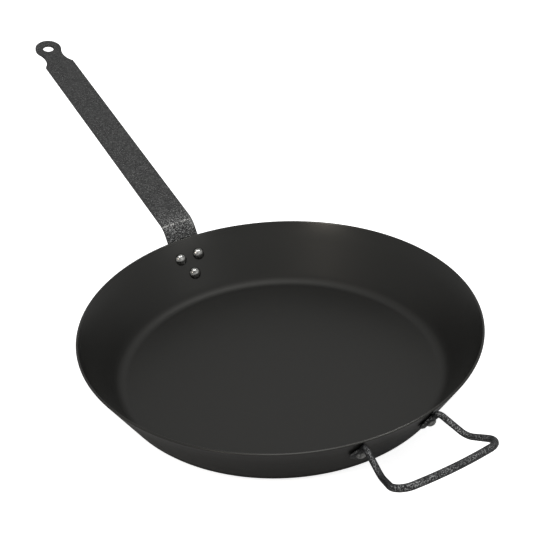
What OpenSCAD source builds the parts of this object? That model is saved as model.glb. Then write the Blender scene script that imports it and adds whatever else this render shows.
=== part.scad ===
// Carbon steel frying pan with a long flat handle and a helper loop.
// The origin is the middle of the underside. The long handle points to -X
// and the loop to +X. Lengths are in millimetres and angles in degrees.

/* [Pan] */
// Diameter across the outside of the rim
rim_d = 360; // [260:5:440]
// Height of the rim above the table
pan_h = 55; // [44:1:80]
// Thickness of the sheet steel
sheet_t = 2; // [1.5:0.1:4]
// Slope of the wall, measured from the floor
wall_angle = 59; // [50:0.5:72]
// Inside radius between the floor and the wall
corner_r = 11.5; // [5:0.5:20]
// Radius that breaks the two edges of the rim
rim_edge_r = 0.6; // [0.2:0.1:0.7]

/* [Long handle] */
// Width of the flat bar
handle_w = 33; // [26:0.5:44]
// Thickness of the flat bar
handle_t = 3; // [2:0.1:5]
// Rise of the grip above level
grip_angle = 17.5; // [5:0.5:35]
// Length from the bend to the middle of the hanging eye
grip_len = 310.5; // [180:0.5:400]
// Distance from the rim up to the bend
bend_rise = 15.9; // [12:0.1:30]
// Radius of the bend on the face that the hand sees
bend_r = 20; // [8:0.5:24]
// Diameter of the round end that holds the hanging hole
eye_d = 29; // [24:0.5:32]
// Diameter of the hanging hole
hanging_hole_d = 12; // [6:0.5:16]
// Width of the waist between the grip and the eye
waist_w = 22; // [16:0.5:24]
// Radius of the hollow curve at each side of the waist
waist_r = 22; // [16:0.5:30]

/* [Handle rivets] */
// Diameter of a handle rivet's shank
rivet_d = 6; // [4:0.5:7]
// Diameter of a handle rivet's head
rivet_head_d = 12; // [8:0.5:13]
// Height of a handle rivet's head
rivet_head_h = 3.7; // [2:0.1:4.2]
// Distance between the two upper rivets
rivet_gap = 20; // [16:0.5:24]
// Distance down the wall from the rim to the upper rivets
upper_rivet_down = 19; // [14:0.5:20]
// Distance down the wall from the upper rivets to the lower one
lower_rivet_drop = 17.3; // [14:0.1:20]
// Room between the lower rivet's middle and the bar's round end
plate_margin = 9; // [7:0.5:10]

/* [Helper loop] */
// Diameter of the rod at the grip
grip_rod_d = 6.3; // [5:0.1:9]
// Diameter of the rod in the legs
leg_rod_d = 5.4; // [4:0.1:8]
// Distance between the middles of the two legs at the rim
foot_gap = 70; // [60:1:90]
// How far the legs rise past the rim before they turn out
leg_rise = 0.2; // [0:0.1:6]
// Distance from the rim out to the lowest point of the legs
dip_out = 28; // [22:0.5:40]
// Drop from the rim to that lowest point
dip_drop = 8.7; // [4:0.1:16]
// Distance between the legs at that lowest point
dip_gap = 82.4; // [70:0.2:100]
// Distance from the rim out to the loop's corners
corner_out = 59; // [48:0.5:75]
// Distance between the loop's corners before they are rounded
corner_gap = 101.8; // [90:0.2:120]
// Distance from the rim out to the middle of the grip before it is bowed
grip_out = 65; // [52:0.5:85]
// Rise of the loop beyond its lowest point, from level
loop_tilt = 22.5; // [10:0.5:35]
// Bend radius where the legs leave the wall
leg_bend_r = 6.5; // [4:0.5:7]
// Bend radius at the legs' lowest point
dip_bend_r = 20; // [10:0.5:24]
// Bend radius at the loop's corners
corner_bend_r = 13; // [9:0.5:14]
// Bend radius of the bowed grip
grip_bow_r = 240; // [150:5:250]

/* [Helper feet] */
// Width of a flattened foot
foot_w = 17; // [12:0.5:19]
// Thickness of a flattened foot
foot_t = 4; // [2.5:0.1:5]
// Distance down the wall from the rim to a foot's rivet
foot_rivet_down = 14.5; // [14:0.1:18]
// How far a foot runs on below its rivet
foot_toe = 12; // [8:0.5:14]
// Diameter of a foot rivet's shank
foot_rivet_d = 5; // [4:0.5:6]
// Diameter of a foot rivet's head
foot_head_d = 9.5; // [7:0.5:10]
// Height of a foot rivet's head
foot_head_h = 3.5; // [2:0.1:4]
// Height of its low head inside the pan
foot_inner_h = 1.4; // [0.8:0.1:2]

/* [Fits] */
// Gap around a rivet's shank in its hole
rivet_fit = 0.05; // [0.02:0.01:0.2]
// Gap between the round part of the rod and the wall
rod_gap = 0.6; // [0.1:0.05:0.8]

/* [Hidden] */
$fn = 128;

pan_color = [0.17, 0.17, 0.165];
handle_color = [0.27, 0.28, 0.275];
rod_color = [0.2, 0.21, 0.21];
rivet_color = [0.72, 0.7, 0.66];
loop_rivet_color = [0.3, 0.3, 0.3];

// Straight pieces that make up the pan's inside corner and each rounded rim edge
turn_steps = 24;
edge_steps = 8;
// The wall's direction up the section and its outward normal
wall_dir = [cos(wall_angle), sin(wall_angle)];
wall_out = [sin(wall_angle), -cos(wall_angle)];
// What the rounding takes off a rim edge, so that rim_d and pan_h are true sizes
edge_loss = rim_edge_r * (sin(wall_angle) + cos(wall_angle) - 1);
// The rim is cut square to the sheet, so its outer edge is the lower one
rim_r = rim_d / 2 + edge_loss;
rim_top = pan_h + edge_loss;
rim_z = rim_top - sheet_t * cos(wall_angle);
// How deep a rivet head's skirt reaches before the surface trims it
head_skirt = 0.4;
// Height of the straight edge under a rivet's dome
head_land = 0.4;
hole_depth = 4 * (sheet_t + handle_t);

// Left and right are those of a cook who holds the long handle, which lies along -X.
// Each handle rivet: its node, distance across the bar, distance down the wall.
lower_rivet_down = upper_rivet_down + lower_rivet_drop;
handle_turn = 180;
handle_rivets = [
    ["handle_rivet_left", -rivet_gap / 2, upper_rivet_down],
    ["handle_rivet_right", rivet_gap / 2, upper_rivet_down],
    ["handle_rivet_lower", 0, lower_rivet_down]
];

// How far down the wall the bar ends
plate_end = lower_rivet_down + plate_margin;
// The flat bar is let in by this much, so that the round wall seats its whole width
seat_depth = wall_fall(wall_r(plate_end), handle_w / 2);
plate_end_r = 0.55 * handle_w;

// The bar's bend, in the section through the middle of the handle
bend_steps = 16;
grip_dir = [cos(grip_angle), sin(grip_angle)];
grip_under = [sin(grip_angle), -cos(grip_angle)];
bend_run = bend_r * tan((wall_angle - grip_angle) / 2);
bar_at_rim = [rim_r, rim_z] - seat_depth * wall_out;
bend_corner = bar_at_rim + bend_rise * wall_dir;
bend_middle = bend_corner - bend_run * wall_dir + bend_r * wall_out;

// Where the hollow curve of the waist is centred and where it meets the eye
waist_y = waist_w / 2 + waist_r;
waist_x = grip_len - sqrt(pow(eye_d / 2 + waist_r, 2) - pow(waist_y, 2));
waist_end_x = grip_len - (grip_len - waist_x) * eye_d / 2 / (eye_d / 2 + waist_r);
waist_start_x = waist_x - 1.2 * waist_r;

// A line along the bar, this far behind its face. It runs past both round ends, which are
// cut out of it afterwards, because a bar that stopped on their circles would leave slivers.
function bar_line(depth) =
    let (
        first = bar_at_rim - (plate_end + plate_end_r / 2) * wall_dir + depth * wall_out,
        last = bend_corner + (grip_len + 0.75 * eye_d) * grip_dir + depth * grip_under
    )
    [
        first,
        for (i = [0 : bend_steps])
            let (a = 90 + wall_angle + i / bend_steps * (grip_angle - wall_angle))
            bend_middle + (bend_r - depth) * [cos(a), sin(a)],
        last
    ];

// The loop's legs stand on rays this far either side of +X
foot_turn = asin(foot_gap / 2 / rim_r);
foot_sides = [["helper_rivet_left", 1], ["helper_rivet_right", -1]];
foot_seat = wall_fall(wall_r(foot_rivet_down), foot_w / 2);
leg_r = leg_rod_d / 2;
grip_r = grip_rod_d / 2;
// The round rod stops this far above the foot's rivet head and is flat from there on
rod_end_down = foot_rivet_down - foot_head_d / 2 - leg_r - 0.6;
rod_sides = 16;

// Radius of the outer wall at a distance down it from the rim
function wall_r(down) = rim_r - down * cos(wall_angle);

// A point on the outer wall: turn round the pan, distance down the wall, height off it
function on_wall(turn, down, off) =
    let (r = wall_r(down) + off * sin(wall_angle))
    [r * cos(turn), r * sin(turn), rim_z - down * sin(wall_angle) - off * cos(wall_angle)];

// How far a round wall of this radius falls away from its tangent plane to one side
function wall_fall(r, across) =
    (r - sqrt(pow(r, 2) - pow(across, 2))) * sin(wall_angle);

// Points along an arc, both ends included
function arc_points(middle, r, from, to, steps) =
    [for (i = [0 : steps])
        let (a = from + (to - from) * i / steps)
        middle + r * [cos(a), sin(a)]];

function unit(v) = v / norm(v);
function flip(p, side) = [p.x, side * p.y, p.z];
// Half of the angle between the two straights that meet at a bend
function half_corner(before, corner, after) =
    acos(unit(before - corner) * unit(after - corner)) / 2;

// A height on the tilted part of the loop
function loop_z(out) = rim_z - dip_drop + (out - dip_out) * tan(loop_tilt);

leg_foot = on_wall(foot_turn, rod_end_down, leg_r + rod_gap);
leg_top = on_wall(foot_turn, -leg_rise, leg_r + rod_gap);
leg_dip = [rim_r + dip_out, dip_gap / 2, loop_z(dip_out)];
loop_corner = [rim_r + corner_out, corner_gap / 2, loop_z(corner_out)];
grip_middle = [rim_r + grip_out, 0, loop_z(grip_out)];

// Each stop on the rod's way round: point, bend radius, rod radius
rod_half = [
    [leg_foot, 0, leg_r],
    [leg_top, leg_bend_r, leg_r],
    [leg_dip, dip_bend_r, leg_r],
    [loop_corner, corner_bend_r, grip_r]
];
rod_way = concat(
    rod_half,
    [[grip_middle, grip_bow_r, grip_r]],
    [for (i = [len(rod_half) - 1 : -1 : 0])
        [flip(rod_half[i][0], -1), rod_half[i][1], rod_half[i][2]]]
);

// The rod's middle line round one bend, in steps of about 10 degrees: point, rod radius
function bend_line(before, stop, after) =
    let (
        corner = stop[0],
        in = unit(before[0] - corner),
        out = unit(after[0] - corner),
        half = half_corner(before[0], corner, after[0]),
        steps = max(4, ceil((180 - 2 * half) / 10)),
        centre = corner + unit(in + out) * stop[1] / sin(half),
        mid = -unit(in + out),
        side = unit(out - in)
    )
    [for (step = [0 : steps])
        let (a = (step / steps - 0.5) * (180 - 2 * half))
        [centre + stop[1] * (mid * cos(a) + side * sin(a)), stop[2]]];

// The round end of the rod, in rings that shrink towards its tip
function rod_tip(stop, next) =
    let (back = unit(stop[0] - next[0]))
    [for (a = [75, 50, 25, 0]) [stop[0] + back * stop[2] * sin(a), stop[2] * cos(a)]];

last_stop = len(rod_way) - 1;
rod_line = concat(
    rod_tip(rod_way[0], rod_way[1]),
    [for (i = [1 : last_stop - 1])
        each bend_line(rod_way[i - 1], rod_way[i], rod_way[i + 1])],
    [for (ring = [3 : -1 : 0]) rod_tip(rod_way[last_stop], rod_way[last_stop - 1])[ring]]
);

// Frame on the outer wall: x runs down the wall, z stands out from it
module at_wall(turn, down) {
    rotate([0, 0, turn])
        translate([wall_r(down), 0, rim_z - down * sin(wall_angle)])
            rotate([0, 180 - wall_angle, 0])
                children();
}

// The pan's half section as one outline, so that no two curves have to meet at a tangent
function pan_outline() =
    let (
        turn_r = corner_r + sheet_t,
        floor_r = rim_r - rim_z / tan(wall_angle) - turn_r * tan(wall_angle / 2),
        turn_middle = [floor_r, turn_r],
        edge_drop = rim_edge_r * wall_dir,
        edge_in = rim_edge_r * wall_out,
        outer_edge = [rim_r, rim_z] - edge_drop - edge_in,
        inner_edge = [rim_r, rim_z] - sheet_t * wall_out - edge_drop + edge_in
    )
    concat(
        [[0, 0]],
        arc_points(turn_middle, turn_r, -90, wall_angle - 90, turn_steps),
        arc_points(outer_edge, rim_edge_r, wall_angle - 90, wall_angle, edge_steps),
        arc_points(inner_edge, rim_edge_r, wall_angle, wall_angle + 90, edge_steps),
        arc_points(turn_middle, corner_r, wall_angle - 90, -90, turn_steps),
        [[0, sheet_t]]
    );

// The dish without its rivet holes
module pan_shell() {
    rotate_extrude(convexity = 4)
        polygon(pan_outline());
}

// The wall's outer cone, carried on above the rim
module wall_cone(above) {
    cylinder(
        h = rim_z + above,
        r1 = rim_r - rim_z / tan(wall_angle),
        r2 = rim_r + above / tan(wall_angle)
    );
}

module handle_holes() {
    for (rivet = handle_rivets)
        at_wall(handle_turn, rivet[2])
            translate([0, rivet[1], 0])
                cylinder(h = hole_depth, d = rivet_d + 2 * rivet_fit, center = true);
}

module foot_holes() {
    for (foot = foot_sides)
        at_wall(foot[1] * foot_turn, foot_rivet_down)
            cylinder(h = hole_depth, d = foot_rivet_d + 2 * rivet_fit, center = true);
}

module pan_body() {
    color(pan_color)
        difference() {
            pan_shell();
            handle_holes();
            foot_holes();
        }
}

// The bar's side view: its face, then its back in the other direction
module bar_section() {
    face = bar_line(0);
    back = bar_line(handle_t);
    polygon(concat(face, [for (i = [len(back) - 1 : -1 : 0]) back[i]]));
}

// Frame on the grip: x runs out from the bend's corner, z stands up from its face
module on_grip() {
    translate([bend_corner.x, 0, bend_corner.y])
        rotate([0, -grip_angle, 0])
            children();
}

// What is kept of the bar's outer end: the waist and the round eye
module eye_outline() {
    difference() {
        translate([waist_start_x - 1, -handle_w])
            square([waist_end_x - waist_start_x + 1, 2 * handle_w]);
        for (side = [-1, 1])
            translate([waist_x, side * waist_y])
                circle(waist_r);
    }
    translate([grip_len, 0])
        circle(d = eye_d);
}

module eye_cutter() {
    linear_extrude(4 * handle_t, center = true)
        difference() {
            translate([waist_start_x, -handle_w])
                square([grip_len + eye_d - waist_start_x, 2 * handle_w]);
            eye_outline();
        }
}

// Rounds the lower end of the bar
module plate_cutter() {
    linear_extrude(4 * handle_t, center = true)
        difference() {
            translate([plate_end - plate_end_r, -handle_w])
                square([2 * plate_end_r, 2 * handle_w]);
            translate([plate_end - plate_end_r, 0])
                circle(plate_end_r);
        }
}

// The bent bar before it is let in to the wall and drilled
module handle_bar() {
    difference() {
        rotate([90, 0, 0])
            linear_extrude(handle_w, center = true)
                bar_section();
        on_grip() {
            eye_cutter();
            translate([grip_len, 0, 0])
                cylinder(h = 4 * handle_t, d = hanging_hole_d, center = true);
        }
        at_wall(0, 0)
            plate_cutter();
    }
}

module long_handle() {
    color(handle_color)
        difference() {
            rotate([0, 0, handle_turn])
                handle_bar();
            wall_cone(bend_rise);
            handle_holes();
        }
}

// The rod as one tube, with a ring of points at each place on its middle line
module loop_rod() {
    rings = len(rod_line);
    points = [
        for (i = [0 : rings - 1])
            let (
                ahead = rod_line[min(i + 1, rings - 1)][0] - rod_line[max(i - 1, 0)][0],
                across = unit(cross([0, 0, 1], ahead)),
                up = unit(cross(ahead, across))
            )
            for (k = [0 : rod_sides - 1])
                let (a = 360 * k / rod_sides)
                rod_line[i][0] + rod_line[i][1] * (across * cos(a) + up * sin(a))
    ];
    walls = [
        for (i = [0 : rings - 2])
            for (k = [0 : rod_sides - 1])
                let (next = (k + 1) % rod_sides)
                each [
                    [i * rod_sides + k, (i + 1) * rod_sides + k, (i + 1) * rod_sides + next],
                    [i * rod_sides + k, (i + 1) * rod_sides + next, i * rod_sides + next]
                ]
    ];
    ends = [
        [for (k = [0 : rod_sides - 1]) k],
        [for (k = [rod_sides - 1 : -1 : 0]) (rings - 1) * rod_sides + k]
    ];
    polyhedron(points, concat(walls, ends));
}

// The flattened end of the rod, in the wall's frame at its rivet
module foot_plate() {
    neck_x = rod_end_down - foot_rivet_down - leg_r;
    toe_x = foot_toe - foot_w / 2;
    translate([0, 0, -foot_seat])
        linear_extrude(foot_t + foot_seat) {
            polygon([
                [neck_x, leg_r],
                [neck_x, -leg_r],
                [toe_x, -foot_w / 2],
                [toe_x, foot_w / 2]
            ]);
            translate([toe_x, 0])
                circle(d = foot_w);
        }
}

module helper_handle() {
    color(rod_color) {
        loop_rod();
        difference() {
            for (foot = foot_sides)
                at_wall(foot[1] * foot_turn, foot_rivet_down)
                    foot_plate();
            wall_cone(0);
            foot_holes();
        }
    }
}

// A domed head that stands on z = 0, with a straight skirt of the given depth below it
module rivet_head(d, h, skirt) {
    dome_h = h - head_land;
    dome_r = (pow(d / 2, 2) + pow(dome_h, 2)) / (2 * dome_h);
    rotate_extrude()
        intersection() {
            translate([0, h - dome_r])
                circle(dome_r);
            translate([0, -skirt])
                square([d / 2, h + skirt]);
        }
}

// A set rivet in the wall's frame: one head stands inside the pan, the other on what it holds
module set_rivet(turn, down, across, d, head_d, head_h, inner_h, back) {
    inner_r = wall_r(down) - sheet_t * sin(wall_angle);
    inside = -sheet_t - wall_fall(inner_r, across);
    at_wall(turn, down)
        translate([0, across, 0]) {
            translate([0, 0, inside - head_skirt])
                cylinder(h = back + head_skirt - inside + head_skirt, d = d);
            translate([0, 0, back])
                rivet_head(head_d, head_h, 0);
        }
    difference() {
        at_wall(turn, down)
            translate([0, across, inside])
                mirror([0, 0, 1])
                    rivet_head(head_d, inner_h, head_skirt);
        pan_shell();
    }
}

module handle_rivet(i) {
    color(rivet_color)
        set_rivet(
            handle_turn, handle_rivets[i][2], handle_rivets[i][1],
            rivet_d, rivet_head_d, rivet_head_h, rivet_head_h, handle_t - seat_depth
        );
}

module helper_rivet(side) {
    color(loop_rivet_color)
        set_rivet(
            side * foot_turn, foot_rivet_down, 0,
            foot_rivet_d, foot_head_d, foot_head_h, foot_inner_h, foot_t
        );
}

pan_body();
long_handle();
helper_handle();
for (i = [0 : len(handle_rivets) - 1])
    handle_rivet(i);
for (foot = foot_sides)
    helper_rivet(foot[1]);
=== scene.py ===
import math

import bmesh
import bpy
from mathutils import Matrix, Vector


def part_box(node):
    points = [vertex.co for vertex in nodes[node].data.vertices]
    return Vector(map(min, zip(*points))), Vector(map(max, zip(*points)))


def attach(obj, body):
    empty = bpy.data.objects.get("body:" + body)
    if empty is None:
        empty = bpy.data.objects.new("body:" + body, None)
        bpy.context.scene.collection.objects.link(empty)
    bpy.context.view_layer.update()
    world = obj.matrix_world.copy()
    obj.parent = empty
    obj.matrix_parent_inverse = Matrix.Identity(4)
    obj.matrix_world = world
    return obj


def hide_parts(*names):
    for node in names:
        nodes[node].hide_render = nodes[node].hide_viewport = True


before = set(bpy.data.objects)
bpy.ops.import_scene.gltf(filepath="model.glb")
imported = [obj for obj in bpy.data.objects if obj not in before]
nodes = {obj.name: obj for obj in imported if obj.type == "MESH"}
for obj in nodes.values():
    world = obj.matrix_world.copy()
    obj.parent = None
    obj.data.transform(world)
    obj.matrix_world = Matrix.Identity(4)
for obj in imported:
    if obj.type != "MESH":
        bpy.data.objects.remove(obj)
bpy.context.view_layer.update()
print("frame loaded:", len(nodes), "nodes")


def addNode(tree, kind, inputs=None, **settings):
    node = tree.nodes.new(kind)
    for name, value in settings.items():
        setattr(node, name, value)
    for key, value in (inputs or {}).items():
        if isinstance(value, bpy.types.NodeSocket):
            tree.links.new(value, node.inputs[key])
        else:
            node.inputs[key].default_value = value
    return node


def mathNode(tree, operation, first, second=0.0, third=0.0, clamp=False):
    node = addNode(tree, "ShaderNodeMath", operation=operation, use_clamp=clamp)
    for i, value in enumerate((first, second, third)):
        if isinstance(value, bpy.types.NodeSocket):
            tree.links.new(value, node.inputs[i])
        else:
            node.inputs[i].default_value = value
    return node.outputs[0]


def rampNode(tree, factor, stops):
    node = addNode(tree, "ShaderNodeValToRGB", {0: factor})
    ramp = node.color_ramp
    while len(ramp.elements) < len(stops):
        ramp.elements.new(0.5)
    for element, (place, grey) in zip(ramp.elements, stops):
        element.position = place
        element.color = (grey, grey, grey, 1.0)
    return node.outputs[0]


def mixColor(tree, factor, first, second, blend="MIX"):
    node = addNode(tree, "ShaderNodeMix", data_type="RGBA", blend_type=blend)
    for key, value in ((0, factor), (6, first), (7, second)):
        if isinstance(value, bpy.types.NodeSocket):
            tree.links.new(value, node.inputs[key])
        else:
            node.inputs[key].default_value = value
    return node.outputs[2]


def newGroup(name, kind, inputs, outputs):
    group = bpy.data.node_groups.new(name, kind)
    for title, socketType, value in inputs:
        socket = group.interface.new_socket(title, in_out="INPUT", socket_type=socketType)
        if value is not None:
            socket.default_value = value
    for title, socketType in outputs:
        group.interface.new_socket(title, in_out="OUTPUT", socket_type=socketType)
    return group, group.nodes.new("NodeGroupInput"), group.nodes.new("NodeGroupOutput")


def makeHammerGroup():
    # raised beads of a hammered coat, with dark valleys between them
    group, source, result = newGroup(
        "hammerCoat", "ShaderNodeTree",
        [("Beads Per Metre", "NodeSocketFloat", 520.0), ("Stretch", "NodeSocketFloat", 0.35)],
        [("Beads", "NodeSocketFloat"), ("Veins", "NodeSocketFloat"), ("Height", "NodeSocketFloat")],
    )
    place = addNode(group, "ShaderNodeTexCoord").outputs["Object"]
    drift = addNode(group, "ShaderNodeTexNoise", {"Vector": place, "Scale": 300.0, "Detail": 1.0})
    shift = addNode(group, "ShaderNodeVectorMath", {0: drift.outputs["Color"], 1: (0.5, 0.5, 0.5)},
                    operation="SUBTRACT")
    slide = addNode(group, "ShaderNodeVectorMath", {0: shift.outputs[0], 3: 0.004}, operation="SCALE")
    moved = addNode(group, "ShaderNodeVectorMath", {0: place, 1: slide.outputs[0]}, operation="ADD")
    cells = addNode(group, "ShaderNodeTexVoronoi",
                    {"Vector": moved.outputs[0], "Scale": source.outputs["Beads Per Metre"]},
                    feature="SMOOTH_F1")
    cells.inputs["Smoothness"].default_value = 0.35
    edges = addNode(group, "ShaderNodeTexVoronoi",
                    {"Vector": moved.outputs[0], "Scale": source.outputs["Beads Per Metre"]},
                    feature="DISTANCE_TO_EDGE")
    veins = rampNode(group, edges.outputs["Distance"], [(0.0, 1.0), (0.16, 0.25), (0.3, 0.0)])
    beads = rampNode(group, cells.outputs["Distance"], [(0.0, 1.0), (0.45, 0.35), (0.8, 0.0)])
    fine = addNode(group, "ShaderNodeTexNoise", {"Vector": place, "Scale": 1400.0, "Detail": 3.0})
    height = mathNode(group, "MULTIPLY_ADD", fine.outputs["Fac"], source.outputs["Stretch"], beads)
    group.links.new(beads, result.inputs["Beads"])
    group.links.new(veins, result.inputs["Veins"])
    group.links.new(height, result.inputs["Height"])
    return group


def makeHandledGroup():
    # faint smears and dull patches that hands and oil leave
    group, source, result = newGroup(
        "handledFilm", "ShaderNodeTree",
        [("Patch Scale", "NodeSocketFloat", 14.0), ("Strength", "NodeSocketFloat", 0.1)],
        [("Film", "NodeSocketFloat")],
    )
    place = addNode(group, "ShaderNodeTexCoord").outputs["Object"]
    broad = addNode(group, "ShaderNodeTexNoise",
                    {"Vector": place, "Scale": source.outputs["Patch Scale"],
                     "Detail": 4.0, "Roughness": 0.55})
    centred = mathNode(group, "SUBTRACT", broad.outputs["Fac"], 0.5)
    film = mathNode(group, "MULTIPLY", centred, source.outputs["Strength"])
    group.links.new(film, result.inputs["Film"])
    return group


def makeWearGroup():
    # rubbed metal along edges, broken up so that it never makes an even line
    group, source, result = newGroup(
        "edgeRub", "ShaderNodeTree",
        [("Break Up Scale", "NodeSocketFloat", 180.0), ("Amount", "NodeSocketFloat", 0.6)],
        [("Rub", "NodeSocketFloat")],
    )
    place = addNode(group, "ShaderNodeTexCoord").outputs["Object"]
    edge = addNode(group, "ShaderNodeAttribute", attribute_name="edge")
    breakUpNoise = addNode(group, "ShaderNodeTexNoise",
                    {"Vector": place, "Scale": source.outputs["Break Up Scale"], "Detail": 4.0})
    broken = rampNode(group, breakUpNoise.outputs["Fac"], [(0.38, 0.15), (0.62, 1.0)])
    edgeShare = mathNode(group, "MULTIPLY", edge.outputs["Fac"], broken)
    scaled = mathNode(group, "MULTIPLY", edgeShare, source.outputs["Amount"], clamp=True)
    group.links.new(scaled, result.inputs["Rub"])
    return group


hammerGroup = makeHammerGroup()
handledGroup = makeHandledGroup()
wearGroup = makeWearGroup()


def newMaterial(name):
    material = bpy.data.materials.new(name)
    material.use_nodes = True
    tree = material.node_tree
    tree.nodes.clear()
    shader = addNode(tree, "ShaderNodeBsdfPrincipled")
    out = addNode(tree, "ShaderNodeOutputMaterial", {0: shader.outputs[0]})
    out.location = (300, 0)
    return material, tree, shader


def placeGroup(tree, group, inputs):
    node = addNode(tree, "ShaderNodeGroup", node_tree=group)
    for name, value in inputs.items():
        node.inputs[name].default_value = value
    return node


def feedBump(tree, shader, height, depth, strength=1.0):
    bump = addNode(tree, "ShaderNodeBump", {"Height": height, "Distance": depth, "Strength": strength})
    tree.links.new(bump.outputs[0], shader.inputs["Normal"])


print("shared effects built")


panFinish = {
    "dark": (0.0050, 0.0050, 0.0046, 1.0),
    "pale": (0.0100, 0.0099, 0.0090, 1.0),
    "rubbed": (0.105, 0.090, 0.072, 1.0),
    "roughness": 0.40,
    "specular": 0.50,
    "sheen": (1.0, 0.995, 0.95, 1.0),
    "rimPolish": 0.13,
    "polishStart": 0.040,
    "polishRise": 0.014,
    "cornerHeight": 0.006,
    "cornerReach": 0.006,
    "cornerDull": 0.20,
    "grainDepth": 0.000030,
    "rollStart": 0.040,  # height where the wall starts to roll outwards
    "rollReach": 0.015,
    "rollDepth": 0.00045,
}


def makePanSteel(finish):
    material, tree, shader = newMaterial("darkPanSteel")
    place = addNode(tree, "ShaderNodeTexCoord").outputs["Object"]
    # rings: how far out from the centre, and how high up the wall
    parts = addNode(tree, "ShaderNodeSeparateXYZ", {0: place})
    flat = addNode(tree, "ShaderNodeCombineXYZ", {0: parts.outputs[0], 1: parts.outputs[1]})
    out = addNode(tree, "ShaderNodeVectorMath", {0: flat.outputs[0]}, operation="LENGTH").outputs["Value"]
    turn = mathNode(tree, "ARCTAN2", parts.outputs[1], parts.outputs[0])
    rings = addNode(tree, "ShaderNodeCombineXYZ",
                    {0: mathNode(tree, "MULTIPLY", out, 900.0),
                     1: mathNode(tree, "MULTIPLY", turn, 1.6),
                     2: mathNode(tree, "MULTIPLY", parts.outputs[2], 900.0)})
    grain = addNode(tree, "ShaderNodeTexNoise", {"Vector": rings.outputs[0], "Scale": 1.0, "Detail": 3.0})
    specks = addNode(tree, "ShaderNodeTexNoise", {"Vector": place, "Scale": 2600.0, "Detail": 2.0})
    film = placeGroup(tree, handledGroup, {"Patch Scale": 9.0, "Strength": 0.5}).outputs[0]
    edgeShare = placeGroup(tree, wearGroup, {"Break Up Scale": 16.0, "Amount": 0.04}).outputs[0]
    tone = mathNode(tree, "MULTIPLY_ADD", grain.outputs["Fac"], 0.5, 0.25)
    tone = mathNode(tree, "ADD", tone, film, clamp=True)
    steel = mixColor(tree, tone, finish["dark"], finish["pale"])
    color = mixColor(tree, edgeShare, steel, finish["rubbed"])
    tree.links.new(color, shader.inputs["Base Color"])
    rough = mathNode(tree, "MULTIPLY_ADD", grain.outputs["Fac"], 0.10, finish["roughness"] - 0.05)
    rough = mathNode(tree, "MULTIPLY_ADD", film, 0.25, rough)
    # the top of the wall is rubbed smoother than the rest
    aboveStart = mathNode(tree, "SUBTRACT", parts.outputs[2], finish["polishStart"])
    high = mathNode(tree, "DIVIDE", aboveStart, finish["polishRise"], clamp=True)
    rough = mathNode(tree, "MULTIPLY_ADD", high, -finish["rimPolish"], rough)
    # and the pressed corner at the foot of the wall is duller
    aboveCorner = mathNode(tree, "SUBTRACT", parts.outputs[2], finish["cornerHeight"])
    offCorner = mathNode(tree, "ABSOLUTE", aboveCorner)
    share = mathNode(tree, "DIVIDE", offCorner, finish["cornerReach"])
    corner = mathNode(tree, "SUBTRACT", 1.0, share, clamp=True)
    rough = mathNode(tree, "MULTIPLY_ADD", corner, finish["cornerDull"], rough)
    tree.links.new(rough, shader.inputs["Roughness"])
    shader.inputs["Specular IOR Level"].default_value = finish["specular"]
    shader.inputs["Specular Tint"].default_value = finish["sheen"]
    height = mathNode(tree, "MULTIPLY_ADD", specks.outputs["Fac"], 0.5, grain.outputs["Fac"])
    aboveRoll = mathNode(tree, "SUBTRACT", parts.outputs[2], finish["rollStart"])
    rise = mathNode(tree, "MAXIMUM", mathNode(tree, "DIVIDE", aboveRoll, finish["rollReach"]), 0.0)
    roll = addNode(tree, "ShaderNodeBump", {"Height": mathNode(tree, "MULTIPLY", rise, rise),
                                            "Distance": finish["rollDepth"]}, invert=True)
    bump = addNode(tree, "ShaderNodeBump", {"Height": height, "Distance": finish["grainDepth"],
                                            "Normal": roll.outputs[0]})
    tree.links.new(bump.outputs[0], shader.inputs["Normal"])
    return material


handleFinish = {
    "name": "greyHammerCoat",
    "valley": (0.006, 0.006, 0.006, 1.0),
    "bead": (0.022, 0.024, 0.023, 1.0),
    "silver": (0.32, 0.325, 0.32, 1.0),
    "edge": (0.010, 0.010, 0.010, 1.0),
    "beadsPerMetre": 380.0,
    "silverShare": 0.9,
    "flakeFrom": 0.48,
    "bendShare": 1.6,
    "creaseHighlightTone": (0.62, 0.62, 0.60, 1.0),
    "roughness": 0.27,
    "specular": 0.48,
    "coatDepth": 0.00090,
}
rodFinish = {
    "name": "darkHammerCoat",
    "valley": (0.004, 0.004, 0.005, 1.0),
    "bead": (0.018, 0.020, 0.021, 1.0),
    "silver": (0.52, 0.53, 0.53, 1.0),
    "edge": (0.010, 0.010, 0.010, 1.0),
    "beadsPerMetre": 420.0,
    "silverShare": 0.80,
    "flakeFrom": 0.44,
    "bendShare": 0.0,
    "creaseHighlightTone": (0.36, 0.37, 0.37, 1.0),
    "roughness": 0.30,
    "specular": 0.35,
    "coatDepth": 0.00080,
}


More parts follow.
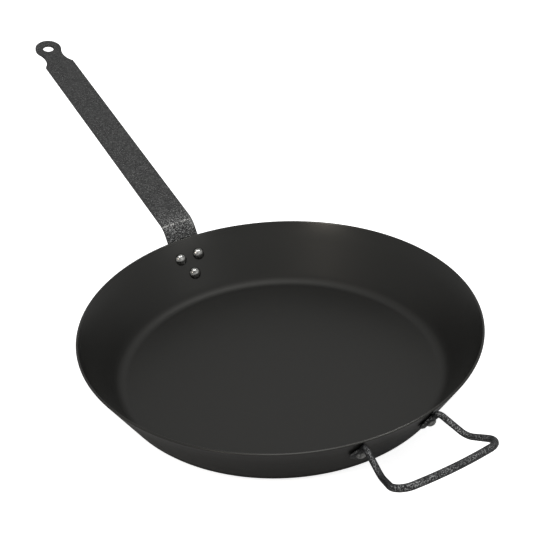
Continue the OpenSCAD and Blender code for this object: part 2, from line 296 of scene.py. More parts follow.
def makeHammerCoat(finish):
    material, tree, shader = newMaterial(finish["name"])
    coat = placeGroup(tree, hammerGroup, {"Beads Per Metre": finish["beadsPerMetre"], "Stretch": 0.25})
    film = placeGroup(tree, handledGroup, {"Patch Scale": 40.0, "Strength": 0.5}).outputs[0]
    edgeShare = placeGroup(tree, wearGroup, {"Break Up Scale": 260.0, "Amount": 0.9}).outputs[0]
    bend = addNode(tree, "ShaderNodeAttribute", attribute_name="bend").outputs["Fac"]
    creaseHighlight = addNode(tree, "ShaderNodeAttribute", attribute_name="creaseHighlight").outputs["Fac"]
    # painted sheen: the flakes show where the surface faces the camera and fade where it turns away, so
    # rounded sides look darker
    facing = addNode(tree, "ShaderNodeLayerWeight").outputs["Facing"]
    paintedFacingSheen = rampNode(tree, facing, [(0.10, 1.0), (0.50, 0.05)])
    place = addNode(tree, "ShaderNodeTexCoord").outputs["Object"]
    flakes = addNode(tree, "ShaderNodeTexNoise", {"Vector": place, "Scale": 900.0, "Detail": 2.0})
    flakeStart = finish["flakeFrom"]
    flakeMask = rampNode(tree, flakes.outputs["Fac"], [(flakeStart, 0.0), (flakeStart + 0.16, 1.0)])
    silver = mathNode(tree, "MULTIPLY", coat.outputs["Veins"], flakeMask)
    # painted sheen: extra silver flakes on the bend stand in for the light that falls on it
    share = mathNode(tree, "MULTIPLY_ADD", bend, finish["bendShare"], finish["silverShare"])
    silver = mathNode(tree, "MULTIPLY", mathNode(tree, "MULTIPLY", silver, paintedFacingSheen), share, clamp=True)
    base = mixColor(tree, coat.outputs["Beads"], finish["valley"], finish["bead"])
    color = mixColor(tree, silver, base, finish["silver"])
    color = mixColor(tree, edgeShare, color, finish["edge"])
    # painted highlight: a bright line along the crease of the bend, broken up by noise
    breakUpNoise = rampNode(tree, flakes.outputs["Fac"], [(0.45, 0.0), (0.58, 1.0)])
    creaseHighlightMask = mathNode(tree, "MULTIPLY", creaseHighlight, breakUpNoise)
    color = mixColor(tree, creaseHighlightMask, color, finish["creaseHighlightTone"])
    tree.links.new(color, shader.inputs["Base Color"])
    rough = mathNode(tree, "MULTIPLY_ADD", film, 0.3, finish["roughness"])
    tree.links.new(rough, shader.inputs["Roughness"])
    shader.inputs["Specular IOR Level"].default_value = finish["specular"]
    feedBump(tree, shader, coat.outputs["Height"], finish["coatDepth"])
    return material


brightRivetFinish = {
    "name": "brightRivetSteel",
    "deep": (0.06, 0.06, 0.056, 1.0),
    "shine": (0.50, 0.50, 0.48, 1.0),
    "metallic": 1.0,
    "roughness": 0.22,
    "dents": 0.00006,
}
darkRivetFinish = {
    "name": "darkRivetSteel",
    "deep": (0.030, 0.031, 0.031, 1.0),
    "shine": (0.30, 0.30, 0.29, 1.0),
    "metallic": 0.5,
    "roughness": 0.36,
    "dents": 0.00008,
}


def makeRivetSteel(finish):
    material, tree, shader = newMaterial(finish["name"])
    place = addNode(tree, "ShaderNodeTexCoord").outputs["Object"]
    dents = addNode(tree, "ShaderNodeTexNoise", {"Vector": place, "Scale": 420.0, "Detail": 3.0})
    scuffs = addNode(tree, "ShaderNodeTexNoise", {"Vector": place, "Scale": 1500.0, "Detail": 2.0})
    film = placeGroup(tree, handledGroup, {"Patch Scale": 160.0, "Strength": 0.8}).outputs[0]
    edge = addNode(tree, "ShaderNodeAttribute", attribute_name="edge")
    mask = rampNode(tree, dents.outputs["Fac"], [(0.36, 0.25), (0.6, 1.0)])
    # painted shade: the ring round each head's edge, where it meets the part below, is darkened towards the
    # deep colour
    paintedEdgeShade = mathNode(tree, "MULTIPLY", edge.outputs["Fac"], 0.85)
    shineShare = mathNode(tree, "SUBTRACT", mask, paintedEdgeShade, clamp=True)
    color = mixColor(tree, shineShare, finish["deep"], finish["shine"])
    tree.links.new(color, shader.inputs["Base Color"])
    rough = mathNode(tree, "MULTIPLY_ADD", scuffs.outputs["Fac"], 0.2, finish["roughness"] - 0.1)
    rough = mathNode(tree, "ADD", rough, mathNode(tree, "MULTIPLY", film, 0.2))
    tree.links.new(rough, shader.inputs["Roughness"])
    shader.inputs["Metallic"].default_value = finish["metallic"]
    feedBump(tree, shader, dents.outputs["Fac"], finish["dents"])
    return material


panSteel = makePanSteel(panFinish)
handleCoat = makeHammerCoat(handleFinish)
rodCoat = makeHammerCoat(rodFinish)
brightRivetSteel = makeRivetSteel(brightRivetFinish)
darkRivetSteel = makeRivetSteel(darkRivetFinish)
print("finishes built")


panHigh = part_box("pan_body")[1]
wall = {
    "angle": math.radians(59.0),  # wall slope from level
    "sheet": 0.0020,
    "turnRadius": 0.0115,  # inside radius where floor turns up
    "edgeRadius": 0.0006,  # rounding of the cut rim
}
wallAcross = math.cos(wall["angle"])
wallUp = math.sin(wall["angle"])
edgeLoss = wall["edgeRadius"] * (wallUp + wallAcross - 1)
rimRadius = panHigh.x + edgeLoss
rimTop = panHigh.z + edgeLoss
rimHeight = rimTop - wall["sheet"] * wallAcross


def wallRadius(down):
    return rimRadius - down * wallAcross


def wallFrame(turn, down):
    # x runs down the wall, z stands out from it
    place = Vector((wallRadius(down), 0.0, rimHeight - down * wallUp))
    tilt = Matrix.Rotation(math.pi - wall["angle"], 4, "Y")
    return Matrix.Rotation(turn, 4, "Z") @ Matrix.Translation(place) @ tilt


def wallFall(radius, across):
    return (radius - math.sqrt(radius ** 2 - across ** 2)) * wallUp


def makeTurnTree():
    # the piece's own points are the half section, from one end on the axis to the other
    group, source, result = newGroup(
        "turnedPiece", "GeometryNodeTree",
        [("Section", "NodeSocketGeometry", None), ("Steps Around", "NodeSocketInt", 96),
         ("Finish", "NodeSocketMaterial", None)],
        [("Geometry", "NodeSocketGeometry")],
    )
    group.is_modifier = True
    section = source.outputs["Section"]
    size = addNode(group, "GeometryNodeAttributeDomainSize", {"Geometry": section})
    count = size.outputs["Point Count"]
    rows = mathNode(group, "ADD", source.outputs["Steps Around"], 1.0)
    grid = addNode(group, "GeometryNodeMeshGrid", {"Vertices X": count, "Vertices Y": rows})
    place = addNode(group, "GeometryNodeInputPosition")
    parts = addNode(group, "ShaderNodeSeparateXYZ", {0: place.outputs[0]})
    last = mathNode(group, "SUBTRACT", count, 1.0)
    along = mathNode(group, "MULTIPLY", mathNode(group, "ADD", parts.outputs[0], 0.5), last)
    index = addNode(group, "FunctionNodeFloatToInt", {0: along}, rounding_mode="ROUND")
    turn = mathNode(group, "MULTIPLY", mathNode(group, "ADD", parts.outputs[1], 0.5), math.tau)
    point = addNode(group, "GeometryNodeSampleIndex", {"Geometry": section}, data_type="FLOAT_VECTOR")
    group.links.new(place.outputs[0], point.inputs["Value"])
    group.links.new(index.outputs[0], point.inputs["Index"])
    profile = addNode(group, "ShaderNodeSeparateXYZ", {0: point.outputs[0]})
    spot = addNode(group, "ShaderNodeCombineXYZ", {
        0: mathNode(group, "MULTIPLY", profile.outputs[0], mathNode(group, "COSINE", turn)),
        1: mathNode(group, "MULTIPLY", profile.outputs[0], mathNode(group, "SINE", turn)),
        2: profile.outputs[2],
    })
    edgeIn = addNode(group, "GeometryNodeInputNamedAttribute", {"Name": "edge"}, data_type="FLOAT")
    edgeAt = addNode(group, "GeometryNodeSampleIndex", {"Geometry": section}, data_type="FLOAT")
    group.links.new(edgeIn.outputs["Attribute"], edgeAt.inputs["Value"])
    group.links.new(index.outputs[0], edgeAt.inputs["Index"])
    marked = addNode(group, "GeometryNodeStoreNamedAttribute",
                     {"Geometry": grid.outputs["Mesh"], "Name": "edge"}, data_type="FLOAT", domain="POINT")
    group.links.new(edgeAt.outputs[0], marked.inputs["Value"])
    turned = addNode(group, "GeometryNodeSetPosition",
                     {"Geometry": marked.outputs[0], "Position": spot.outputs[0]})
    closed = addNode(group, "GeometryNodeMergeByDistance", {"Geometry": turned.outputs[0], "Distance": 1e-6})
    smooth = addNode(group, "GeometryNodeSetShadeSmooth", {"Geometry": closed.outputs[0]})
    real = addNode(group, "GeometryNodeRealizeInstances", {"Geometry": smooth.outputs[0]})
    painted = addNode(group, "GeometryNodeSetMaterial",
                      {"Geometry": real.outputs[0], "Material": source.outputs["Finish"]})
    group.links.new(painted.outputs[0], result.inputs[0])
    return group


def pointsObject(name, points, attributes):
    mesh = bpy.data.meshes.new(name)
    links = [(i, i + 1) for i in range(len(points) - 1)]
    mesh.from_pydata([tuple(p) for p in points], links, [])
    for title, (kind, values) in attributes.items():
        layer = mesh.attributes.new(title, kind, "POINT")
        for i, value in enumerate(values):
            if kind == "FLOAT":
                layer.data[i].value = value
            else:
                layer.data[i].vector = value
    thing = bpy.data.objects.new(name, mesh)
    bpy.context.scene.collection.objects.link(thing)
    return thing


def runTree(thing, tree, values):
    # the tree's result becomes the object's plain mesh
    modifier = thing.modifiers.new("build", "NODES")
    modifier.node_group = tree
    for item in tree.interface.items_tree:
        if item.item_type == "SOCKET" and item.in_out == "INPUT" and item.name in values:
            modifier[item.identifier] = values[item.name]
    bpy.context.view_layer.update()
    ready = thing.evaluated_get(bpy.context.evaluated_depsgraph_get())
    mesh = bpy.data.meshes.new_from_object(ready)
    thing.modifiers.remove(modifier)
    thing.data = mesh
    return thing


def fixNormals(mesh):
    work = bmesh.new()
    work.from_mesh(mesh)
    bmesh.ops.remove_doubles(work, verts=work.verts, dist=1e-6)
    bmesh.ops.recalc_face_normals(work, faces=work.faces)
    work.to_mesh(mesh)
    work.free()


turnTree = makeTurnTree()


def arcPoints(centre, radius, start, end, steps):
    found = []
    for i in range(steps + 1):
        a = start + (end - start) * i / steps
        found.append((centre[0] + radius * math.cos(a), centre[1] + radius * math.sin(a)))
    return found


panShape = {
    "stepsAround": 360,
    "turnSteps": 10,
    "edgeSteps": 5,
    "wallSteps": 12,
    "floorSteps": 10,
    "edgeBand": 0.0012,  # how far below the rounding the rubbed edge fades out
}


def panSection(shape):
    # half section as (radius, height, edge), from the underside's centre round to the floor's centre
    quarter = math.pi / 2
    slope = wall["angle"]
    r = wall["edgeRadius"]
    outerRun = (wall["turnRadius"] + wall["sheet"]) * math.tan(slope / 2)
    innerRun = wall["turnRadius"] * math.tan(slope / 2)
    outerFloor = rimRadius - rimHeight / math.tan(slope)
    innerRim = rimRadius - wall["sheet"] * wallUp
    innerFloor = innerRim - (rimTop - wall["sheet"]) / math.tan(slope)
    flatOuter = outerFloor - outerRun
    flatInner = innerFloor - innerRun
    floorSteps = shape["floorSteps"]
    line = [(flatOuter * i / floorSteps, 0.0, 0.0) for i in range(floorSteps)]
    bottom = arcPoints((flatOuter, wall["turnRadius"] + wall["sheet"]), wall["turnRadius"] + wall["sheet"],
                       -quarter, -quarter + slope, shape["turnSteps"])
    line += [(x, z, 0.0) for x, z in bottom]
    outerEdge = Vector((rimRadius, rimHeight))
    innerEdge = Vector((innerRim, rimTop))
    up = Vector((wallAcross, wallUp))
    side = Vector((wallUp, -wallAcross))
    outerArc = arcPoints(outerEdge - up * r - side * r, r, slope - quarter, slope, shape["edgeSteps"])
    innerArc = arcPoints(innerEdge - up * r + side * r, r, slope, slope + quarter, shape["edgeSteps"])
    start = Vector(bottom[-1])
    end = Vector(outerArc[0])
    for i in range(1, shape["wallSteps"]):
        p = start.lerp(end, i / shape["wallSteps"])
        line.append((p.x, p.y, 0.0))
    belowEdge = end - up * shape["edgeBand"]
    line.append((belowEdge.x, belowEdge.y, 0.0))
    line += [(x, z, 1.0) for x, z in outerArc]
    line += [(x, z, 1.0) for x, z in innerArc]
    start = Vector(innerArc[-1])
    aboveWall = start - up * shape["edgeBand"]
    line.append((aboveWall.x, aboveWall.y, 0.0))
    floorArc = arcPoints((flatInner, wall["sheet"] + wall["turnRadius"]), wall["turnRadius"],
                         slope - quarter, -quarter, shape["turnSteps"])
    end = Vector(floorArc[0])
    for i in range(1, shape["wallSteps"]):
        p = start.lerp(end, i / shape["wallSteps"])
        line.append((p.x, p.y, 0.0))
    line += [(x, z, 0.0) for x, z in floorArc]
    line += [(flatInner * (1 - i / floorSteps), wall["sheet"], 0.0) for i in range(1, floorSteps + 1)]
    return line


section = panSection(panShape)
panBody = pointsObject("panBody", [(x, 0.0, z) for x, z, edge in section],
                       {"edge": ("FLOAT", [edge for x, z, edge in section])})
runTree(panBody, turnTree, {"Steps Around": panShape["stepsAround"], "Finish": panSteel})
fixNormals(panBody.data)
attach(panBody, "root")
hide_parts("pan_body")
print("pan turned:", len(panBody.data.vertices), "points")


bar = {
    "width": 0.033,
    "thick": 0.003,
    "gripAngle": math.radians(17.5),
    "gripLength": 0.3105,  # from the bend's corner to the eye
    "bendRise": 0.0159,
    "bendRadius": 0.020,
    "eyeWidth": 0.029,
    "holeWidth": 0.012,
    "waistWidth": 0.022,
    "waistRadius": 0.022,
    "plateDown": 0.0453,  # how far down the wall it ends
    "edgeRound": 0.00045,
    "edgeBand": 0.0011,
    "creaseAlong": 0.60,  # share of the bend's length
    "creaseCore": 0.0002,
    "creaseReach": 0.0011,
    "sheenRise": (-0.004, 0.002),  # along the bar, where the painted sheen of extra bright flakes on the bend comes in
    "flakeFall": 0.010,
    "dressReach": 0.012,  # how far above the rim the face may touch the wall
    "plateCuts": 14,
    "bendCuts": 22,
    "gripCuts": 16,
    "acrossCuts": 10,
}
barPlateRound = 0.55 * bar["width"]
barSeat = wallFall(wallRadius(bar["plateDown"]), bar["width"] / 2)
bendTurn = wall["angle"] - bar["gripAngle"]
bendRun = bar["bendRadius"] * math.tan(bendTurn / 2)
bendLength = bar["bendRadius"] * bendTurn
# lengths along the bar's face are measured from where the bend starts
plateLength = bar["plateDown"] + bar["bendRise"] - bendRun
eyeAlong = bendLength - bendRun + bar["gripLength"]


def easeBetween(low, high, value):
    t = min(1.0, max(0.0, (value - low) / (high - low)))
    return t * t * (3 - 2 * t)


def barPlace(along, across, deep):
    # along the bar's face, across it, and behind the face, bent into place on the -X side
    out = Vector((wallUp, -wallAcross))
    up = Vector((wallAcross, wallUp))
    rim = Vector((rimRadius, rimHeight)) - out * barSeat
    corner = rim + up * bar["bendRise"]
    middle = corner - up * bendRun + out * bar["bendRadius"]
    if along <= 0:
        spot = corner - up * bendRun + up * along + out * deep
    elif along < bendLength:
        a = math.pi / 2 + wall["angle"] - along / bar["bendRadius"]
        spot = middle + (bar["bendRadius"] - deep) * Vector((math.cos(a), math.sin(a)))
    else:
        a = bar["gripAngle"]
        way = Vector((math.cos(a), math.sin(a)))
        under = Vector((math.sin(a), -math.cos(a)))
        spot = corner + way * (along - bendLength + bendRun) + under * deep
    return Vector((-spot.x, -across, spot.y))


def barOutline():
    # anticlockwise outline seen from the face: (along, across)
    half = bar["width"] / 2
    waistY = bar["waistWidth"] / 2 + bar["waistRadius"]
    reach = bar["eyeWidth"] / 2 + bar["waistRadius"]
    waistX = eyeAlong - math.sqrt(reach ** 2 - waistY ** 2)
    # the hollow curve starts where it crosses the bar's edge
    shoulder = math.asin((waistY - half) / bar["waistRadius"])
    meet = math.atan2(waistY, eyeAlong - waistX)
    right = []
    endPlate = -plateLength
    r = barPlateRound
    corner = math.asin(half / r)
    right += arcPoints((endPlate + r, 0.0), r, math.pi, math.pi + corner, 12)
    right += arcPoints((waistX, -waistY), bar["waistRadius"], math.pi - shoulder, meet, 20)
    right += arcPoints((eyeAlong, 0.0), bar["eyeWidth"] / 2, -math.pi + meet, 0.0, 26)[1:]
    left = [(x, -y) for x, y in reversed(right[1:-1])]
    return [Vector(p) for p in right + left]


def insetLoop(loop, inset):
    found = []
    count = len(loop)
    for i, p in enumerate(loop):
        before = (p - loop[i - 1]).normalized()
        after = (loop[(i + 1) % count] - p).normalized()
        inA = Vector((-before.y, before.x))
        inB = Vector((-after.y, after.x))
        way = (inA + inB).normalized()
        found.append(p + way * inset / max(0.35, way.dot(inA)))
    return found


def makeBar():
    outer = barOutline()
    hole = arcPoints((eyeAlong, 0.0), bar["holeWidth"] / 2, 0.0, -math.tau, 40)[:-1]
    hole = [Vector(p) for p in hole]
    e = bar["edgeRound"]
    rings = [(bar["edgeBand"], 0.0, 0.0)]
    for i in range(4):
        a = math.pi / 2 * i / 3
        rings.append((e * (1 - math.sin(a)), e * (1 - math.cos(a)), 1.0))
    rings += [(inset, bar["thick"] - deep, edge) for inset, deep, edge in reversed(rings)]
    work = bmesh.new()
    edgeLayer = work.verts.layers.float.new("edge")
    bendLayer = work.verts.layers.float.new("bend")
    creaseHighlightLayer = work.verts.layers.float.new("creaseHighlight")
    caps = {0: [], len(rings) - 1: []}
    for loop in (outer, hole):
        rows = []
        for k, (inset, deep, edge) in enumerate(rings):
            row = []
            for p in insetLoop(loop, inset):
                v = work.verts.new((p.x, p.y, -deep))
                v[edgeLayer] = edge
                row.append(v)
            rows.append(row)
        for upper, lower in zip(rows, rows[1:]):
            for i in range(len(loop)):
                j = (i + 1) % len(loop)
                work.faces.new((upper[j], upper[i], lower[i], lower[j]))
        for k in caps:
            caps[k].append(rows[k])
    for k, loops in caps.items():
        edges = []
        for row in loops:
            edges += [work.edges.get((row[i], row[(i + 1) % len(row)])) for i in range(len(row))]
        bmesh.ops.triangle_fill(work, use_beauty=True, edges=edges)
    bmesh.ops.recalc_face_normals(work, faces=work.faces)
    plateCuts = bar["plateCuts"]
    bendCuts = bar["bendCuts"]
    gripCuts = bar["gripCuts"]
    acrossCuts = bar["acrossCuts"]
    cuts = [-plateLength * (1 - i / plateCuts) for i in range(1, plateCuts)]
    cuts += [bendLength * i / bendCuts for i in range(bendCuts + 1)]
    cuts += [bendLength + (eyeAlong - bendLength) * i / gripCuts for i in range(1, gripCuts - 1)]
    for cut in cuts:
        everything = work.verts[:] + work.edges[:] + work.faces[:]
        bmesh.ops.bisect_plane(work, geom=everything, plane_co=(cut, 0, 0), plane_no=(1, 0, 0), dist=1e-7)
    for i in range(1, acrossCuts):
        across = bar["width"] * (i / acrossCuts - 0.5)
        near = [f for f in work.faces if f.calc_center_median().x < bendLength * 1.1]
        geom = list({v for f in near for v in f.verts}) + list({g for f in near for g in f.edges}) + near
        bmesh.ops.bisect_plane(work, geom=geom, plane_co=(0, across, 0), plane_no=(0, 1, 0), dist=1e-7)
    for v in work.verts:
        along = v.co.x
        # painted sheen mask over the bend, and painted highlight mask along its crease
        rise = easeBetween(*bar["sheenRise"], along)
        v[bendLayer] = rise * (1 - easeBetween(0.0, bar["flakeFall"], along - bendLength))
        offCrease = abs(along - bar["creaseAlong"] * bendLength)
        if v.co.z > -bar["thick"] / 2:
            v[creaseHighlightLayer] = 1 - easeBetween(bar["creaseCore"], bar["creaseReach"], offCrease)
        v.co = barPlace(v.co.x, v.co.y, -v.co.z)
        # the plate's face is dressed to the round wall
        fall = wallRadius((rimHeight - v.co.z) / wallUp) - math.hypot(v.co.x, v.co.y)
        if fall > 0 and v.co.z < rimHeight + bar["dressReach"]:
            flat = Vector((v.co.x, v.co.y)).normalized()
            v.co += Vector((flat.x * wallUp, flat.y * wallUp, -wallAcross)) * fall * wallUp
    mesh = bpy.data.meshes.new("longHandle")
    work.to_mesh(mesh)
    work.free()
    return mesh


def addMeshPiece(mesh, material, node, angle=None):
    thing = bpy.data.objects.new(mesh.name, mesh)
    bpy.context.scene.collection.objects.link(thing)
    if not mesh.materials:
        mesh.materials.append(material)
    for face in mesh.polygons:
        face.use_smooth = True
    if angle is not None:
        mesh.set_sharp_from_angle(angle=math.radians(angle))
    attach(thing, "root")
    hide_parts(node)
    return thing


longHandle = addMeshPiece(makeBar(), handleCoat, "long_handle", 40)
print("handle bar bent:", len(longHandle.data.vertices), "points")


def makeSweepTree():
    # the piece's own points are the path; each carries its section's two directions and half sizes
    group, source, result = newGroup(
        "bentRod", "GeometryNodeTree",
        [("Path", "NodeSocketGeometry", None), ("Sides", "NodeSocketInt", 28),
         ("Finish", "NodeSocketMaterial", None)],
        [("Geometry", "NodeSocketGeometry")],
    )
    group.is_modifier = True
    path = source.outputs["Path"]
    size = addNode(group, "GeometryNodeAttributeDomainSize", {"Geometry": path})
    count = size.outputs["Point Count"]
    rows = mathNode(group, "ADD", source.outputs["Sides"], 1.0)
    grid = addNode(group, "GeometryNodeMeshGrid", {"Vertices X": count, "Vertices Y": rows})
    place = addNode(group, "GeometryNodeInputPosition")
    parts = addNode(group, "ShaderNodeSeparateXYZ", {0: place.outputs[0]})
    last = mathNode(group, "SUBTRACT", count, 1.0)
    along = mathNode(group, "MULTIPLY", mathNode(group, "ADD", parts.outputs[0], 0.5), last)
    index = addNode(group, "FunctionNodeFloatToInt", {0: along}, rounding_mode="ROUND")
    turn = mathNode(group, "MULTIPLY", mathNode(group, "ADD", parts.outputs[1], 0.5), math.tau)

    def sampled(title):
        if title == "position":
            field = place.outputs[0]
        else:
            reader = addNode(group, "GeometryNodeInputNamedAttribute", {"Name": title},
                             data_type="FLOAT_VECTOR")
            field = reader.outputs["Attribute"]
        node = addNode(group, "GeometryNodeSampleIndex", {"Geometry": path}, data_type="FLOAT_VECTOR")
        group.links.new(field, node.inputs["Value"])
        group.links.new(index.outputs[0], node.inputs["Index"])
        return node.outputs[0]

    spot = sampled("position")
    for title, wave in (("wide", "COSINE"), ("thick", "SINE")):
        step = addNode(group, "ShaderNodeVectorMath",
                       {0: sampled(title), 3: mathNode(group, wave, turn)}, operation="SCALE")
        spot = addNode(group, "ShaderNodeVectorMath", {0: spot, 1: step.outputs[0]},
                       operation="ADD").outputs[0]
    bent = addNode(group, "GeometryNodeSetPosition", {"Geometry": grid.outputs["Mesh"], "Position": spot})
    closed = addNode(group, "GeometryNodeMergeByDistance", {"Geometry": bent.outputs[0], "Distance": 1e-6})
    smooth = addNode(group, "GeometryNodeSetShadeSmooth", {"Geometry": closed.outputs[0]})
    real = addNode(group, "GeometryNodeRealizeInstances", {"Geometry": smooth.outputs[0]})
    painted = addNode(group, "GeometryNodeSetMaterial",
                      {"Geometry": real.outputs[0], "Material": source.outputs["Finish"]})
    group.links.new(painted.outputs[0], result.inputs[0])
    return group


rod = {
    "legRadius": 0.0027,
    "gripRadius": 0.00315,
    "footGap": 0.070,
    "legRise": 0.0002,
    "dipOut": 0.028,
    "dipDrop": 0.0087,
    "dipGap": 0.0824,
    "cornerOut": 0.059,
    "cornerGap": 0.1018,
    "gripOut": 0.065,
    "tilt": math.radians(22.5),
    "legBend": 0.0065,
    "dipBend": 0.020,
    "cornerBend": 0.013,
    "bowRadius": 0.240,
    "wallGap": 0.0006,
    "footWidth": 0.017,
    "footThick": 0.0040,
    "rivetDown": 0.0145,
    "toe": 0.012,
    "flatFrom": 0.0058,  # down the wall: where the round rod starts to flatten
    "flatTo": 0.0110,
    "toeRound": 0.0012,
    "cornerSwell": 0.4,  # share of the grip's extra thickness reached where the corner starts
    "legSteps": 12,
    "dipSteps": 14,
    "cornerSteps": 16,
    "bowSteps": 16,
    "sides": 28,
}
footTurn = math.asin(rod["footGap"] / 2 / rimRadius)


def wallPoint(turn, down, off):
    r = wallRadius(down) + off * wallUp
    return Vector((r * math.cos(turn), r * math.sin(turn), rimHeight - down * wallUp - off * wallAcross))


def footLine():
    # from the toe up to the round leg: point, half width, half thickness
    toeMiddle = rod["rivetDown"] + rod["toe"] - rod["footWidth"] / 2
    half = rod["footWidth"] / 2
    downs = [toeMiddle + half * math.cos(math.radians(a)) for a in range(0, 91, 6)]
    downs += [toeMiddle - (toeMiddle - rod["flatFrom"]) * i / 24 for i in range(1, 25)]
    found = []
    for down in downs:
        flat = easeBetween(rod["flatFrom"], rod["flatTo"], down)
        if down > toeMiddle:
            wide = math.sqrt(max(0.0, half ** 2 - (down - toeMiddle) ** 2))
        else:
            spread = easeBetween(rod["flatFrom"], toeMiddle, down)
            wide = rod["legRadius"] + (half - rod["legRadius"]) * spread
        thick = rod["legRadius"] + (rod["footThick"] / 2 - rod["legRadius"]) * flat
        off = (rod["legRadius"] + rod["wallGap"]) * (1 - flat) + rod["footThick"] / 2 * flat
        rounded = min(1.0, wide / rod["toeRound"])
        found.append((wallPoint(footTurn, down, off), wide, thick * rounded))
    return found


def bendLine(before, corner, after, radius, steps):
    toBefore = (before - corner).normalized()
    toAfter = (after - corner).normalized()
    half = math.acos(max(-1.0, min(1.0, toBefore.dot(toAfter)))) / 2
    middleWay = (toBefore + toAfter).normalized()
    sideWay = (toAfter - toBefore).normalized()
    centre = corner + middleWay * radius / math.sin(half)
    sweep = math.pi - 2 * half
    found = []
    for i in range(steps + 1):
        a = (i / steps - 0.5) * sweep
        found.append(centre + radius * (sideWay * math.sin(a) - middleWay * math.cos(a)))
    return found


def rodLine():
    def loopHeight(out):
        return rimHeight - rod["dipDrop"] + (out - rod["dipOut"]) * math.tan(rod["tilt"])

    off = rod["legRadius"] + rod["wallGap"]
    legFoot = wallPoint(footTurn, rod["flatFrom"], off)
    legTop = wallPoint(footTurn, -rod["legRise"], off)
    dip = Vector((rimRadius + rod["dipOut"], rod["dipGap"] / 2, loopHeight(rod["dipOut"])))
    corner = Vector((rimRadius + rod["cornerOut"], rod["cornerGap"] / 2, loopHeight(rod["cornerOut"])))
    middle = Vector((rimRadius + rod["gripOut"], 0.0, loopHeight(rod["gripOut"])))
    otherCorner = Vector((corner.x, -corner.y, corner.z))
    leg = rod["legRadius"]
    grip = rod["gripRadius"]
    half = list(footLine())
    half += [(p, leg, leg) for p in bendLine(legFoot, legTop, dip, rod["legBend"], rod["legSteps"])]
    half += [(p, leg, leg) for p in bendLine(legTop, dip, corner, rod["dipBend"], rod["dipSteps"])]
    turned = bendLine(dip, corner, middle, rod["cornerBend"], rod["cornerSteps"])
    swell = rod["cornerSwell"]
    for i, p in enumerate(turned):
        r = leg + (grip - leg) * (swell + (1 - swell) * i / rod["cornerSteps"])
        half.append((p, r, r))
    bow = bendLine(corner, middle, otherCorner, rod["bowRadius"], rod["bowSteps"])
    midBow = rod["bowSteps"] // 2
    half += [(p, grip, grip) for p in bow[:midBow]]
    centre = [(bow[midBow], grip, grip)]
    mirrored = [(Vector((p.x, -p.y, p.z)), wide, thick) for p, wide, thick in reversed(half)]
    return half + centre + mirrored


def makeRod():
    line = rodLine()
    wides = []
    thicks = []
    for i, (p, wide, thick) in enumerate(line):
        ahead = line[min(i + 1, len(line) - 1)][0] - line[max(i - 1, 0)][0]
        across = Vector((0, 0, 1)).cross(ahead).normalized()
        up = ahead.cross(across).normalized()
        wides.append(across * wide)
        thicks.append(up * thick)
    return pointsObject("helperHandle", [p for p, wide, thick in line],
                        {"wide": ("FLOAT_VECTOR", wides), "thick": ("FLOAT_VECTOR", thicks)})


helperHandle = makeRod()
runTree(helperHandle, makeSweepTree(), {"Sides": rod["sides"], "Finish": rodCoat})
fixNormals(helperHandle.data)
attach(helperHandle, "root")
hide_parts("helper_handle")
print("helper handle bent:", len(helperHandle.data.vertices), "points")


handleRivet = {
    "shank": 0.006,
    "head": 0.012,
    "dome": 0.0037,
    "innerDome": 0.0037,
    "land": 0.0004,
    "skirt": 0.0004,
    "gap": 0.020,
    "upperDown": 0.0190,
    "lowerDown": 0.0363,
    "finish": brightRivetSteel,
}
helperRivet = {
    "shank": 0.005,
    "head": 0.0095,
    "dome": 0.0035,
    "innerDome": 0.0014,  # low heads inside the pan
    "land": 0.0004,
    "skirt": 0.0004,
    "finish": darkRivetSteel,
}


def rivetHead(size, height):
    # half section of one head, from its dome's top down to the shank: (radius, height, edge)
    half = size["head"] / 2
    domeHeight = height - size["land"]
    domeRadius = (half ** 2 + domeHeight ** 2) / (2 * domeHeight)
    reach = math.asin(half / domeRadius)
    steps = 14
    dome = []
    for i in range(steps + 1):
        a = reach * i / steps
        edgeShare = (i / steps) ** 6  # only the last of the dome counts as edge, the ring that the rivet finish darkens as painted shade
        dome.append((domeRadius * math.sin(a), height - domeRadius * (1 - math.cos(a)), edgeShare))
    soft = 0.00012  # small break at the head's edge
    dome[-1] = (half - soft, dome[-1][1] + soft * 0.4, 1.0)
    dome.append((half, size["land"] - soft, 1.0))
    return dome + [(half, -size["skirt"], 1.0), (size["shank"] / 2, -size["skirt"], 1.0)]


def rivetSection(size, inside, back):
    outer = [(r, back + h, edge) for r, h, edge in rivetHead(size, size["dome"])]
    inner = [(r, inside - h, edge) for r, h, edge in reversed(rivetHead(size, size["innerDome"]))]
    return outer + inner


def makeRivet(name, size, turn, down, across, back, node):
    innerRadius = wallRadius(down) - wall["sheet"] * wallUp
    inside = -wall["sheet"] - wallFall(innerRadius, across)
    line = rivetSection(size, inside, back)
    piece = pointsObject(name, [(r, 0.0, h) for r, h, edge in line],
                         {"edge": ("FLOAT", [edge for r, h, edge in line])})
    runTree(piece, turnTree, {"Steps Around": 40, "Finish": size["finish"]})
    piece.data.transform(wallFrame(turn, down) @ Matrix.Translation((0, across, 0)))
    fixNormals(piece.data)
    piece.data.set_sharp_from_angle(angle=math.radians(50))
    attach(piece, "root")
    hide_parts(node)
    return piece


barBack = bar["thick"] - barSeat
for name, node, across, down in (
    ("handleRivetLeft", "handle_rivet_left", -handleRivet["gap"] / 2, handleRivet["upperDown"]),
    ("handleRivetRight", "handle_rivet_right", handleRivet["gap"] / 2, handleRivet["upperDown"]),
    ("handleRivetLower", "handle_rivet_lower", 0.0, handleRivet["lowerDown"]),
):
    makeRivet(name, handleRivet, math.pi, down, across, barBack, node)
for name, node, side in (
    ("helperRivetLeft", "helper_rivet_left", 1),
    ("helperRivetRight", "helper_rivet_right", -1),
):
    makeRivet(name, helperRivet, side * footTurn, rod["rivetDown"], 0.0, rod["footThick"],
              node)
print("rivets set")


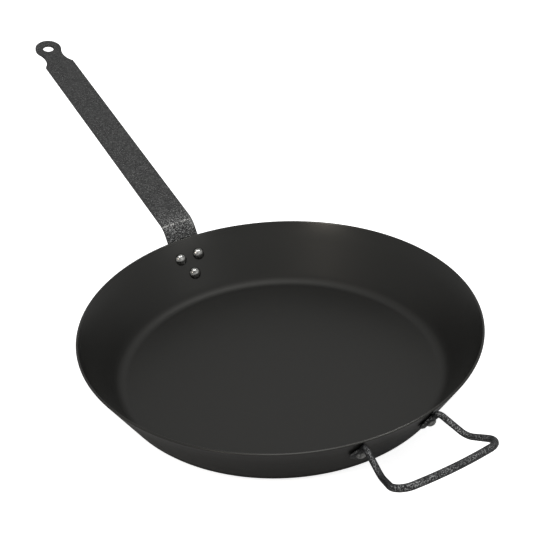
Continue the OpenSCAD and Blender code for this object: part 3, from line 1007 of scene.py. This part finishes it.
studio = {
    "floorSize": 8.0,
    "floorDrop": 0.0002,  # keeps the floor clear of the underside
    "floorColor": (0.92, 0.92, 0.92, 1.0),
    "skyColor": (1.0, 1.0, 1.0, 1.0),
    "skyStrength": 0.53,
    "bounceColor": (0.52, 0.52, 0.52, 1.0),
    "seenGlow": 0.80,
    "lampTarget": (0.0, 0.0, 0.04),
}
lamps = {
    # name: (azimuth, elevation, distance, width, height, power)
    "overheadSoft": (-10.0, 84.0, 2.2, 1.0, 1.0, 9.0),
    "sideTall": (28.0, 38.0, 1.9, 0.60, 1.20, 1.8),
    "creaseGlint": (70.0, 64.0, 1.9, 0.26, 0.26, 5.0),
    "leftGlint": (-66.0, 46.0, 2.4, 0.16, 0.16, 5.4),
}
lampTint = {"leftGlint": (1.0, 0.91, 0.82)}
cameraRig = {
    "target": (-0.1196, 0.0594, 0.030),
    "azimuth": -30.0,
    "elevation": 31.715,
    "distance": 1.1914,
    "roll": -3.285,
    "lens": 81.05,
}


def makeFloor():
    half = studio["floorSize"] / 2
    mesh = bpy.data.meshes.new("studioFloor")
    corners = [(-half, -half, 0), (half, -half, 0), (half, half, 0), (-half, half, 0)]
    mesh.from_pydata([(x, y, z - studio["floorDrop"]) for x, y, z in corners], [], [(0, 1, 2, 3)])
    material, tree, shader = newMaterial("paleFloor")
    shader.inputs["Roughness"].default_value = 0.9
    shader.inputs["Specular IOR Level"].default_value = 0.0
    # the floor looks paler than it shines back, as a lit cloth far below would
    seen = addNode(tree, "ShaderNodeLightPath").outputs["Is Camera Ray"]
    color = mixColor(tree, seen, studio["bounceColor"], studio["floorColor"])
    tree.links.new(color, shader.inputs["Base Color"])
    shader.inputs["Emission Color"].default_value = (1.0, 1.0, 1.0, 1.0)
    glow = mathNode(tree, "MULTIPLY", seen, studio["seenGlow"])
    tree.links.new(glow, shader.inputs["Emission Strength"])
    mesh.materials.append(material)
    floor = bpy.data.objects.new("studioFloor", mesh)
    bpy.context.scene.collection.objects.link(floor)


def orbitPoint(target, azimuth, elevation, distance):
    a = math.radians(azimuth)
    e = math.radians(elevation)
    way = Vector((math.cos(a) * math.cos(e), math.sin(a) * math.cos(e), math.sin(e)))
    return Vector(target) + way * distance


def makeLamp(name, azimuth, elevation, distance, width, height, power):
    lamp = bpy.data.lights.new(name, "AREA")
    lamp.color = lampTint.get(name, (1.0, 1.0, 1.0))
    lamp.shape = "RECTANGLE"
    lamp.size = width
    lamp.size_y = height
    lamp.energy = power
    thing = bpy.data.objects.new(name, lamp)
    bpy.context.scene.collection.objects.link(thing)
    target = Vector(studio["lampTarget"])
    thing.location = orbitPoint(target, azimuth, elevation, distance)
    thing.rotation_euler = (target - thing.location).to_track_quat("-Z", "Y").to_euler()


def makeSky():
    world = bpy.data.worlds.new("softSky")
    world.use_nodes = True
    back = world.node_tree.nodes["Background"]
    back.inputs[0].default_value = studio["skyColor"]
    back.inputs[1].default_value = studio["skyStrength"]
    bpy.context.scene.world = world


def makeCamera(rig):
    camera = bpy.data.cameras.new("camera")
    camera.lens = rig["lens"]
    camera.sensor_width = 36.0
    camera.clip_start = 0.01
    camera.clip_end = 50.0
    thing = bpy.data.objects.new("camera", camera)
    bpy.context.scene.collection.objects.link(thing)
    place = orbitPoint(rig["target"], rig["azimuth"], rig["elevation"], rig["distance"])
    back = (place - Vector(rig["target"])).normalized()
    right = Vector((0, 0, 1)).cross(back).normalized()
    up = back.cross(right)
    roll = math.radians(rig["roll"])
    imageRight = right * math.cos(roll) + up * math.sin(roll)
    imageUp = up * math.cos(roll) - right * math.sin(roll)
    turn = Matrix((imageRight, imageUp, back)).transposed().to_4x4()
    thing.matrix_world = Matrix.Translation(place) @ turn
    bpy.context.scene.camera = thing


makeFloor()
for name, values in lamps.items():
    makeLamp(name, *values)
makeSky()
makeCamera(cameraRig)
bpy.context.scene.view_settings.view_transform = "Standard"
print("studio ready")
